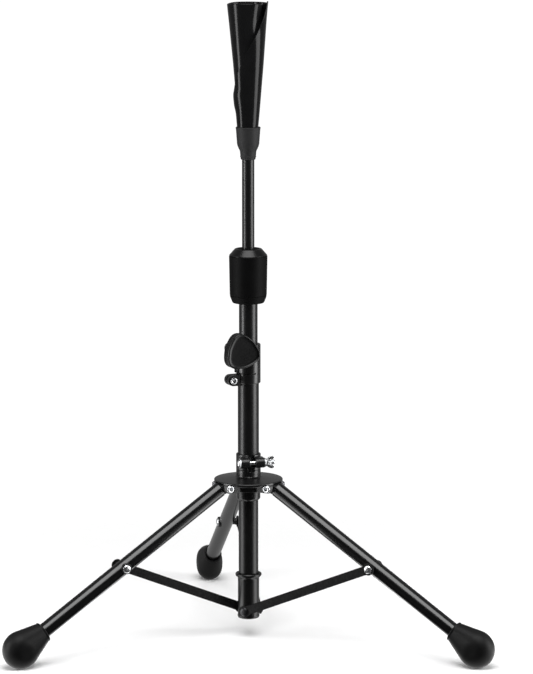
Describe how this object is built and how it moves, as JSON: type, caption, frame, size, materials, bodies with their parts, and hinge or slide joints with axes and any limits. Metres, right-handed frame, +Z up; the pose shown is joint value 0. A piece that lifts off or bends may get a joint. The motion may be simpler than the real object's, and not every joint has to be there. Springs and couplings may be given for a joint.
{
  "type": "batting tee",
  "caption": "Folding batting tee: a rolled rubber ball cone on a telescoping black mast, with a twist collar, a knob clamp, and braced tripod legs on rubber feet.",
  "frame": {"origin": "the point on the floor on the mast's axis, at the centre of the three-footed stance", "axes": "+Z up along the mast, -Y towards the side with the two front legs, +X to the right seen from that side"},
  "size_m": [0.6394, 0.5538, 0.85],
  "materials": {
    "foot_rubber": "soft matte black rubber",
    "boot_rubber": "matte black rubber",
    "cone_rubber": "satin black rolled rubber sheet",
    "cast_black": "satin black cast alloy",
    "leg_enamel": "gloss black enamel on steel tube",
    "tube_satin": "satin black powder coat on steel tube",
    "bright_zinc": "bright zinc plate",
    "dark_zinc": "dull zinc plate",
    "black_steel": "black oxide steel",
    "brace_matte": "matte black coated strip steel",
    "collar_plastic": "fine-textured black moulded plastic",
    "knob_plastic": "black moulded plastic",
    "bearing_plastic": "natural acetal",
    "plug_wood": "turned hardwood",
    "black_plastic": "black moulded plastic"
  },
  "bodies": {
    "hub": {"hub_casting": "cast_black", "mast_tube": "tube_satin", "hub_clamp_bolt": "bright_zinc", "leg_pivot_bolts": "bright_zinc", "leg_pivot_nuts": "dark_zinc", "height_clamp": "cast_black", "height_clamp_screw": "bright_zinc", "height_clamp_nut": "dark_zinc", "knob_bolt": "black_steel", "knob_washer": "black_steel", "wing_washer": "bright_zinc"},
    "column": {"column_tube": "tube_satin", "column_sleeve": "tube_satin", "column_end_plug": "black_plastic"},
    "inner_mast": {"inner_tube": "tube_satin", "inner_tube_guide": "bearing_plastic", "collar_base": "collar_plastic", "collar_collet": "bearing_plastic"},
    "lock_collar": {"collar_shell": "collar_plastic"},
    "ball_post": {"top_rod": "tube_satin", "rod_guide": "bearing_plastic", "rubber_boot": "boot_rubber", "cone_plug": "plug_wood", "ball_cone": "cone_rubber"},
    "clamp_knob": {"clamp_knob": "knob_plastic"},
    "wing_nut": {"wing_nut": "bright_zinc"},
    "leg_left": {"leg_tube_left": "leg_enamel", "leg_insert_left": "black_plastic", "leg_foot_left": "foot_rubber", "brace_rivet_left": "bright_zinc", "brace_spacer_left": "black_plastic", "rivet_washer_left": "black_plastic"},
    "brace_left": {"brace_left": "brace_matte", "base_rivet_left": "black_steel"},
    "leg_right": {"leg_tube_right": "leg_enamel", "leg_insert_right": "black_plastic", "leg_foot_right": "foot_rubber", "brace_rivet_right": "bright_zinc", "brace_spacer_right": "black_plastic", "rivet_washer_right": "black_plastic"},
    "brace_right": {"brace_right": "brace_matte", "base_rivet_right": "black_steel"},
    "leg_rear": {"leg_tube_rear": "leg_enamel", "leg_insert_rear": "black_plastic", "leg_foot_rear": "foot_rubber", "brace_rivet_rear": "bright_zinc", "brace_spacer_rear": "black_plastic", "rivet_washer_rear": "black_plastic"},
    "brace_rear": {"brace_rear": "brace_matte", "base_rivet_rear": "black_steel"}
  },
  "joints": [
    {"name": "column_slide", "type": "slide", "parent": "hub", "child": "column", "axis": [0, 0, -1], "range_m": [0, 0.186]},
    {"name": "leg_left_fold", "type": "hinge", "parent": "hub", "child": "leg_left", "pos_m": [-0.03377, -0.0195, 0.209], "axis": [0.5, -0.866, 0], "range_deg": [0, 43.8]},
    {"name": "brace_left_fold", "type": "hinge", "parent": "leg_left", "child": "brace_left", "pos_m": [-0.16498, -0.09525, 0.11652], "axis": [0.5, -0.866, 0], "range_deg": [-87.2, 0]},
    {"name": "leg_right_fold", "type": "hinge", "parent": "hub", "child": "leg_right", "pos_m": [0.03377, -0.0195, 0.209], "axis": [0.5, 0.866, 0], "range_deg": [0, 43.8]},
    {"name": "brace_right_fold", "type": "hinge", "parent": "leg_right", "child": "brace_right", "pos_m": [0.16498, -0.09525, 0.11652], "axis": [0.5, 0.866, 0], "range_deg": [-87.2, 0]},
    {"name": "leg_rear_fold", "type": "hinge", "parent": "hub", "child": "leg_rear", "pos_m": [-0.00644, 0.03846, 0.209], "axis": [-0.9863, -0.165, 0], "range_deg": [0, 43.8]},
    {"name": "brace_rear_fold", "type": "hinge", "parent": "leg_rear", "child": "brace_rear", "pos_m": [-0.03144, 0.18789, 0.11652], "axis": [-0.9863, -0.165, 0], "range_deg": [-87.2, 0]},
    {"name": "inner_mast_slide", "type": "slide", "parent": "hub", "child": "inner_mast", "axis": [0, 0, 1], "range_m": [-0.04, 0.196]},
    {"name": "collar_twist", "type": "hinge", "parent": "inner_mast", "child": "lock_collar", "pos_m": [0, 0, 0.495], "axis": [0, 0, 1], "range_deg": [0, 120]},
    {"name": "ball_post_slide", "type": "slide", "parent": "inner_mast", "child": "ball_post", "axis": [0, 0, 1], "range_m": [-0.115, 0.1]},
    {"name": "clamp_knob_turn", "type": "hinge", "parent": "hub", "child": "clamp_knob", "pos_m": [-0.01834, -0.01821, 0.394], "axis": [0.3907, -0.9205, 0], "range_deg": [0, 720]},
    {"name": "wing_nut_turn", "type": "hinge", "parent": "hub", "child": "wing_nut", "pos_m": [0.02225, -0.01728, 0.2415], "axis": [0.9724, 0.2334, 0], "range_deg": [0, 720]}
  ],
  "couplings": [
    {"joint": "leg_left_fold", "follows": "column_slide", "rad_per_m": 4.0906},
    {"joint": "brace_left_fold", "follows": "column_slide", "rad_per_m": -8.1566},
    {"joint": "leg_right_fold", "follows": "column_slide", "rad_per_m": 4.0906},
    {"joint": "brace_right_fold", "follows": "column_slide", "rad_per_m": -8.1566},
    {"joint": "leg_rear_fold", "follows": "column_slide", "rad_per_m": 4.0906},
    {"joint": "brace_rear_fold", "follows": "column_slide", "rad_per_m": -8.1566}
  ]
}
